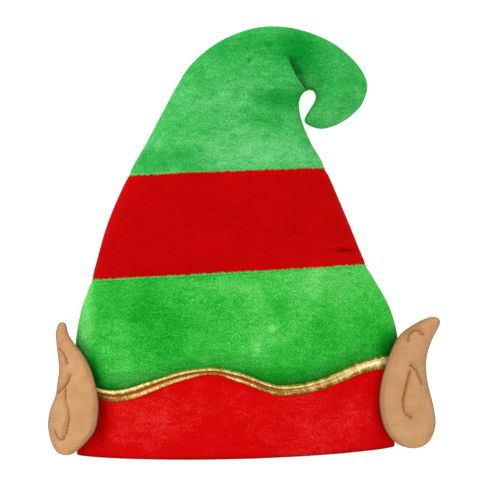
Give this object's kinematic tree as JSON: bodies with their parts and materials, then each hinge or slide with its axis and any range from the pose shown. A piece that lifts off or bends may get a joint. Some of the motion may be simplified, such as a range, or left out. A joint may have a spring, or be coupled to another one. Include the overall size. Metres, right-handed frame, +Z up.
{
  "type": "elf hat",
  "caption": "Pointed plush costume hat lying on its back: striped crown with a curled tip, wavy cuff edged in gilt ribbon, padded pointed ears at the sides.",
  "frame": {"origin": "middle of the hat's outline seen from above, on the surface that the hat lies on", "axes": "+X across the hat, to the side that the tip bends to; +Y from the open hem towards the bend; +Z up, out of the face with the crests of the wave"},
  "size_m": [0.3542, 0.3878, 0.0662],
  "materials": {
    "plush_green": "short cut pile with a soft sheen, brushed in patches",
    "plush_red": "short cut pile with a soft sheen",
    "gilt_ribbon": "metallic ribbed ribbon, bright",
    "ear_jersey": "matt fine-ribbed jersey over wadding"
  },
  "bodies": {
    "root": {"crown_tip": "plush_green", "crown_stripe": "plush_red", "crown_base": "plush_green", "cuff": "plush_red", "gilt_binding": "gilt_ribbon", "ear_left": "ear_jersey", "ear_right": "ear_jersey"}
  },
  "joints": []
}
